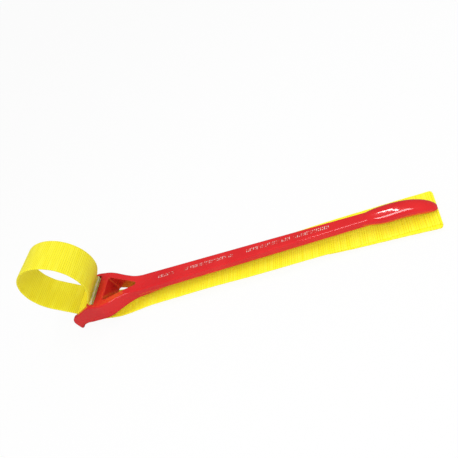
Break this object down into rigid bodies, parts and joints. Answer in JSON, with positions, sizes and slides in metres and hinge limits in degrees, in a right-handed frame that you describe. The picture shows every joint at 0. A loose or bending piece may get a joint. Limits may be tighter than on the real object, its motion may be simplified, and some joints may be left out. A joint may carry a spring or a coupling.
{
  "type": "strap wrench",
  "caption": "Hand wrench with a long cast handle and a woven strap that loops round a pipe, passes through the forked head and trails back under the handle.",
  "frame": {"origin": "centre of the pipe held in the loop, midway across the strap", "axes": "+X along the handle from the head towards the grip, +Y along the axis of the pipe, +Z from the head towards the pipe, square to the flat top of the handle"},
  "size_m": [0.6301, 0.072, 0.157],
  "materials": {
    "red_enamel": "gloss",
    "pin_steel": "satin",
    "webbing": "woven",
    "thread": "matt"
  },
  "bodies": {
    "handle": {"handle_casting": "red_enamel", "strap_pin": "pin_steel", "strap_throat": "webbing"},
    "strap_loop": {"strap_loop": "webbing", "strap_eye": "webbing", "eye_stitching": "thread"},
    "strap_tail": {"strap_tail": "webbing", "strap_fold": "webbing"},
    "strap_flap": {"strap_flap": "webbing"}
  },
  "joints": [
    {"name": "loop_swing", "type": "hinge", "parent": "handle", "child": "strap_loop", "pos_m": [0.0258, 0, -0.0774], "axis": [0, 1, 0], "range_deg": [-4, 8], "stiffness_Nm_per_rad": 2, "deforming": ["strap_throat"]},
    {"name": "strap_feed", "type": "slide", "parent": "handle", "child": "strap_tail", "axis": [0.9999, 0, 0.0104], "range_m": [0, 0.1]},
    {"name": "flap_fold", "type": "hinge", "parent": "strap_tail", "child": "strap_flap", "pos_m": [0.57032, 0, -0.09403], "axis": [0, -1, 0], "range_deg": [0, 90], "stiffness_Nm_per_rad": 0.5, "deforming": ["strap_fold"]}
  ]
}
